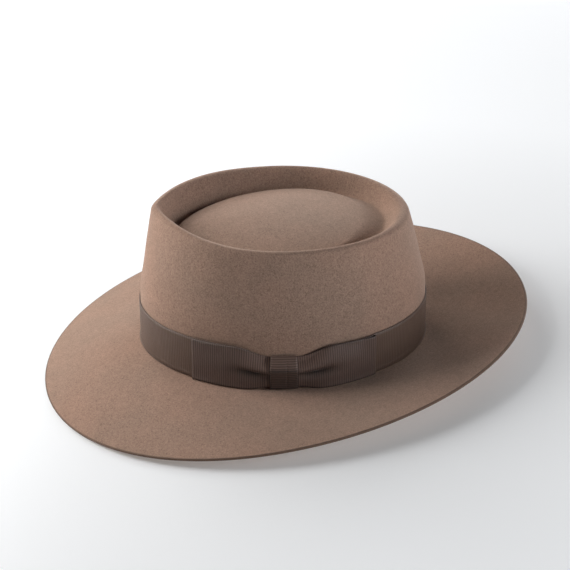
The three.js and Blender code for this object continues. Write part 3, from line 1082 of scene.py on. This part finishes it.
@dataclass
class Bow:
    """The flat bow: a strip with a pressed loop on each side, and a knot round its middle.

    Lengths are in millimetres. Front and back name the loops towards the hat's front and back. A
    run is how far from the knot a form has died away.
    """

    band: Band
    ribbon: Ribbon
    half_length: float = 65.0
    band_out: float = 1.3
    line_height: float = 16.0
    back_off: float = 0.7
    off_band: float = 2.0
    full_front: float = 2.8
    full_back: float = 4.2
    fold_front: float = 1.5
    fold_back: float = 3.0
    fold_start: float = 0.4
    fold_inset: float = 1.0
    press_run: float = 22.0
    waist_half: float = 9.0
    waist_drop: float = 7.0
    waist_rise: float = 1.7
    tuck_in: float = 2.6
    tuck_run: float = 26.0
    lean_front: float = 1.0
    lean_back: float = 2.4
    lean_span: float = 0.45
    open_start: float = 14.0
    open_run: float = 12.0
    ridge: float = 3.2
    ridge_up: float = 0.58
    pleat_run: float = 30.0
    valley: float = 0.8
    valley_run: float = 24.0
    lower_swell: float = 0.6
    dimple: float = 1.7
    dimple_place: float = 22.0
    dimple_length: float = 11.0
    gather: float = 0.16
    gathers: int = 9
    gather_run: float = 16.0
    # Painted highlight on the slope, and painted shade under the ridge and at the loops' edges.
    slope_painted_highlight: float = 0.6
    under_ridge_painted_shade: float = 0.9
    edge_painted_shade: float = 0.3
    brim_lift: float = 0.9
    knot_width: float = 18.0
    knot_crease: float = 0.35
    knot_painted_highlight: float = 0.68
    knot_painted_shade: float = 0.5
    knot_turn: float = 0.66
    rows: int = 30
    front_places: int = 470
    back_places: int = 60
    fold_places: int = 7
    knot_rows: int = 34
    knot_places: int = 220

    def _angle(self, along: Array) -> Array:
        """The angle round the hat at a distance along the band from the middle of the bow.

        Args:
            along: Distances along the band.

        Returns:
            The angles.
        """
        fine = np.radians(np.linspace(5, 175, 1701))
        height = np.full_like(fine, self.line_height)
        line = self.band.layer(fine, height, np.full_like(fine, self.band_out))
        length = np.r_[0, np.cumsum(np.linalg.norm(np.diff(line, axis=0), axis=1))]
        start = np.interp(self.band.bow_angle(), fine, length)
        return np.interp(along, length - start, fine)

    def _waist(self, along: Array, length: float) -> Array:
        """1 at the knot, easing to 0 over a length of the loop."""
        return 1 - ease((np.abs(along) - self.waist_half) / length)

    def _on_hat(self, along: Array, height: Array, out: Array) -> Array:
        """A place by its distances along the band, above the break line and off the band."""
        form = self.band.form
        return form.set_down(self.band.layer(self._angle(along), height, out + self.band_out))

    def _front(self, along: Array) -> Array:
        """How far the loop's front layer stands off the band: full in the middle of each loop.

        Args:
            along: Distances along the band.

        Returns:
            The distances off the band.
        """
        share = np.abs(along) / self.half_length
        full = np.where(along < 0, self.full_front, self.full_back)
        fold = np.where(along < 0, self.fold_front, self.fold_back)
        puffed = mix(full, fold, ease((share - self.fold_start) / (1 - self.fold_start)))
        return mix(puffed, self.off_band, self._waist(along, self.press_run))

    def _tucked(self, along: Array, up: Array) -> Array:
        """How far the upper part lies back against the felt beside the knot."""
        return self.tuck_in * self._waist(along, self.tuck_run) * np.clip(up / 0.5 - 1, 0, 1) ** 1.4

    def _lean(self, along: Array, up: Array) -> Array:
        """How far a loop's front layer leans in to its upper edge, up to where it folds back.

        Args:
            along: Distances along the band.
            up: Shares of the ribbon's width, from its lower edge.

        Returns:
            The distances inwards.
        """
        lean = np.where(along < 0, self.lean_front, self.lean_back)
        open_end = ease((np.abs(along) - self.half_length + self.open_start) / self.open_run)
        share = np.clip((up - 1) / self.lean_span + 1, 0, 1)
        return lean * share**1.5 * (1 - open_end)

    def _painted_light(self, along: Array, up: Array) -> Array:
        """Painted highlight on the slope above the pleat, painted shade under its ridge and at both
        edges.

        Args:
            along: Distances along the band.
            up: Shares of the ribbon's width, from its lower edge.

        Returns:
            The painted highlight and shade that are added to the ribbon's lightness.
        """
        slope = self.slope_painted_highlight * ease((up - self.ridge_up) / 0.1)
        slope = slope * self._waist(along, self.pleat_run)
        under = hump(up, self.ridge_up - 0.12, 0.1) * hump(np.abs(along), self.dimple_place, 12.0)
        edges = hump(up, 1.0, 0.03) + hump(up, 0.0, 0.03)
        return slope - self.under_ridge_painted_shade * under - self.edge_painted_shade * edges

    def _folds(self, along: Array, up: Array) -> Array:
        """The pleat beside the knot: a long slope down to a ridge, a short turn back under it.

        A narrow valley follows below the ridge and widens to a dimple in the loop, and fine
        gathers run along the slope.

        Args:
            along: Distances along the band.
            up: Shares of the ribbon's width, from its lower edge.

        Returns:
            The distances outwards.
        """
        above = 1 - ease((up - self.ridge_up) / (1 - self.ridge_up))
        under = 1 - ease((self.ridge_up - up) / 0.15)
        pleat = self._waist(along, self.pleat_run)
        ridge = self.ridge * np.where(up > self.ridge_up, above, under) * pleat
        valley = self.valley * hump(up, self.ridge_up - 0.17, 0.06)
        valley = valley * self._waist(along, self.valley_run)
        lower = self.lower_swell * hump(up, 0.2, 0.18) * pleat
        wave = np.cos(2 * np.pi * up * self.gathers)
        gathers = self.gather * wave * self._waist(along, self.gather_run) * ease(up / 0.7)
        in_loop = hump(np.abs(along), self.dimple_place, self.dimple_length)
        dimple = self.dimple * in_loop * hump(up, self.ridge_up - 0.14, 0.13)
        return ridge + lower + gathers - valley - dimple

    def strip(self) -> bpy.types.Object:
        """Makes the strip: along the front layer, round a fold, along the back and round again.

        Returns:
            The strip's object.
        """
        reach = self.half_length - self.fold_inset
        front = np.linspace(-reach, reach, self.front_places)
        back = np.linspace(reach, -reach, self.back_places)
        turn = np.linspace(0, np.pi, self.fold_places + 2)[1:-1]
        up = np.linspace(0, 1, self.rows)[None, :]

        def fold(end: float) -> tuple[Array, Array]:
            """Half a turn from one layer to the other at an end of the bow.

            Args:
                end: The fold's place along the band.

            Returns:
                The distances along the band, and the shares of the front layer.
            """
            side = turn if end > 0 else np.pi - turn
            share = (1 + np.cos(side)) / 2
            return end + np.sign(end) * self.fold_inset * np.sin(side), share

        left_along, left_share = fold(-reach)
        right_along, right_share = fold(reach)
        along = np.concatenate([front, right_along, back, left_along])[:, None]
        layer = np.concatenate([np.ones_like(front), right_share, 0 * back, left_share])[:, None]
        out_front = self._front(along) + self._folds(along, up) - self._lean(along, up)
        out_front = np.maximum(out_front, self.back_off + 1.0)
        out = mix(self.back_off, out_front, layer) - self._tucked(along, up)
        brim_lift = self.brim_lift * np.clip(along / self.half_length, 0, 1) ** 2
        foot = self.band.foot + brim_lift + self.waist_rise * self._waist(along, self.gather_run)
        drop = self.waist_drop * self._waist(along, self.tuck_run)
        top = self.band.foot + self.band.width - drop
        height = mix(foot, top, up)
        along = np.broadcast_to(along, height.shape)
        middle = self._on_hat(along, height, out)
        # Painted highlight and shade, on the front layer only.
        tone = self._painted_light(along, up) * layer
        return self.ribbon.mesh("bow_loops", middle, self.band.width * MM, self.band.rib, tone)

    def knot(self) -> bpy.types.Object:
        """Makes the knot: a rounded loop round the waist, with a faint crease off its middle.

        The corners are the loop's, each by its distance off the band and its height. The knot has a
        painted highlight above its turn, where it rounds over, and painted shade below it.

        Returns:
            The knot's object.
        """
        low = self.band.foot + self.waist_rise - 0.6
        high = self.band.foot + self.band.width - self.waist_drop + 0.7
        corners = np.array(
            [
                (0.4, low + 0.7),
                (2.2, low - 0.1),
                (3.4, low + 0.6),
                (4.0, mix(low, high, 0.16)),
                (5.0, mix(low, high, 0.36)),
                (6.2, mix(low, high, 0.55)),
                (6.4, mix(low, high, 0.66)),
                (5.0, mix(low, high, 0.82)),
                (2.8, mix(low, high, 0.94)),
                (0.8, high + 0.1),
                (-0.4, high - 0.9),
                (0.0, mix(low, high, 0.5)),
            ]
        )
        path = smooth_loop(corners, self.knot_places)[::-1]
        across = np.linspace(-1, 1, self.knot_rows)[None, :]
        out, height = path[:, 0][:, None], path[:, 1][:, None]
        in_front = np.clip((out - 1.5) / 3.0, 0, 1)
        crease = self.knot_crease * hump(across, 0.22, 0.05) * in_front
        sides = 0.5 * np.abs(across) ** 6 * in_front
        share = (height - low) / (high - low)
        along = self.waist_half * across * (1 + 0.03 * np.cos(np.pi * share))
        middle = self._on_hat(along, height + 0 * across, out - crease - sides)
        # Painted highlight above the turn and painted shade below it, lighter towards the top.
        light = self.knot_painted_highlight * ease((share - self.knot_turn) / 0.08)
        tone = light - self.knot_painted_shade + 0.15 * share
        width = self.knot_width * MM
        return self.ribbon.mesh("bow_knot_wrap", middle, width, self.band.rib, tone)

    def dress(
        self, strip: bpy.types.Object, knot: bpy.types.Object, cloth: bpy.types.Material
    ) -> None:
        """Dresses the strip and the knot in the same ribbon."""
        self.ribbon.dress(strip, "bow_ribbon", cloth)
        self.ribbon.dress(knot, "bow_knot", cloth)


class Side(Enum):
    """Where a lamp stands, seen from the camera: near or far, to the left or to the right."""

    KEY = "near_left"
    FAR = "far_left"
    BACK = "far_right"
    RIM = "near_right"


@dataclass(frozen=True)
class Lamp:
    """A soft square lamp that points at the hat."""

    side: Side
    place: Trio
    size: float
    watts: float
    colour: Colour = (1.0, 1.0, 1.0)

    def build(self, aim: Trio) -> None:
        """Makes the lamp and turns it so that its -Z points at the aim.

        Args:
            aim: What the lamp points at.
        """
        data = bpy.data.lights.new(f"lamp_{self.side.value}", "AREA")
        data.shape = "SQUARE"
        data.size = self.size
        data.energy = self.watts
        data.color = self.colour
        lamp = add_object(data.name, data)
        lamp.location = self.place
        from_aim = np.array(self.place) - np.array(aim)
        level = math.hypot(from_aim[0], from_aim[1])
        tilt = math.atan2(level, from_aim[2])
        heading = math.atan2(from_aim[0], -from_aim[1])
        lamp.rotation_euler = (tilt, 0, heading)


@dataclass
class Studio:
    """The pale table and its backdrop, the lamps, the sky and the camera, in metres and watts."""

    lamps: tuple[Lamp, ...] = (
        Lamp(Side.KEY, (-0.17, -0.63, 0.51), 0.5, 6.2, (1.0, 1.0, 0.99)),
        Lamp(Side.FAR, (-1.38, -0.50, 0.90), 0.9, 11.1, (1.01, 1.0, 0.98)),
        Lamp(Side.BACK, (-1.45, 0.84, 0.35), 0.9, 11.5, (0.98, 1.0, 1.03)),
        Lamp(Side.RIM, (0.84, 1.45, 0.35), 0.9, 15.2, (0.94, 1.0, 1.06)),
    )
    finish: TableFinishAndPaintedGlow = TableFinishAndPaintedGlow()
    aim: Trio = (0.0, 0.0, 0.05)
    sky: Colour = (0.95, 0.97, 1.0)
    sky_strength: float = 0.02
    table_reach: float = 6.0
    backdrop_reach: float = 4.0
    backdrop_height: float = 6.0
    backdrop_sides: int = 96
    lens: float = 110.58
    camera_place: Trio = (1.11238, -0.00603, 0.62796)
    camera_turn: Trio = (62.1382, 6.8762, 85.8050)

    def build_table(self) -> None:
        """Makes the table top: one wide flat face at z = 0."""
        mesh = bpy.data.meshes.new("table_top")
        reach = self.table_reach
        corners = [(-reach, -reach, 0), (reach, -reach, 0), (reach, reach, 0), (-reach, reach, 0)]
        mesh.from_pydata(corners, [], [(0, 1, 2, 3)])
        table = add_object("table_top", mesh)
        mesh.materials.append(self.finish.material())

    def build_backdrop(self) -> None:
        """Makes the backdrop: an upright round wall at a distance, which throws no light."""
        count = self.backdrop_sides
        turn = np.linspace(0, 2 * np.pi, count, endpoint=False)
        foot = np.stack([np.cos(turn), np.sin(turn), 0 * turn], 1) * self.backdrop_reach
        top = foot + [0, 0, self.backdrop_height]
        here = np.arange(count)
        after = (here + 1) % count
        mesh = bpy.data.meshes.new("backdrop")
        faces = np.stack([after, here, here + count, after + count], 1)
        mesh.from_pydata(np.vstack([foot, top]).tolist(), [], faces.tolist())
        wall = add_object("backdrop", mesh)
        mesh.materials.append(self.finish.backdrop())
        wall.visible_diffuse = False
        wall.visible_glossy = False
        wall.visible_shadow = False

    def build_light(self) -> None:
        """Makes the sky, one even colour, and the lamps."""
        world = bpy.data.worlds.new("sky")
        world.use_nodes = True
        background = world.node_tree.nodes["Background"]
        background.inputs["Color"].default_value = (*self.sky, 1.0)
        background.inputs["Strength"].default_value = self.sky_strength
        bpy.context.scene.world = world
        for lamp in self.lamps:
            lamp.build(self.aim)
        bpy.context.scene.view_settings.view_transform = "Standard"

    def build_camera(self) -> None:
        """Makes the camera, at the wearer's left and a little above the hat."""
        data = bpy.data.cameras.new("camera")
        data.sensor_width = 36.0
        data.lens = self.lens
        camera = add_object("camera", data)
        camera.location = self.camera_place
        camera.rotation_euler = [math.radians(a) for a in self.camera_turn]
        bpy.context.scene.camera = camera


def main() -> None:
    """Builds the studio and the hat's pieces, and reports each one."""
    logging.basicConfig(level=logging.INFO, format="%(name)s: %(message)s")
    studio = Studio()
    studio.build_camera()
    studio.build_table()
    studio.build_backdrop()
    studio.build_light()
    form = HatForm()
    felt = FeltFinish().material()
    # Each ribbon's second colour is the painted shade in its rib valleys.
    worn = RibbonFinish("band_ribbon", (0.134, 0.079, 0.054), (0.088, 0.051, 0.035)).material()
    crisp = RibbonFinish("bow_ribbon", (0.148, 0.090, 0.068), (0.056, 0.034, 0.028)).material()
    body = FeltBody(form)
    shell = body.build()
    body.dress(shell, felt)
    band = Band(form, Ribbon(rib_height=0.18))
    ring = band.build()
    band.dress(ring, worn)
    bow = Bow(band, Ribbon())
    strip, knot = bow.strip(), bow.knot()
    bow.dress(strip, knot, crisp)
    for piece in (shell, ring, strip, knot):
        LOG.info("%s: %d faces", piece.name, len(piece.data.polygons))


if __name__ == "__main__":
    main()
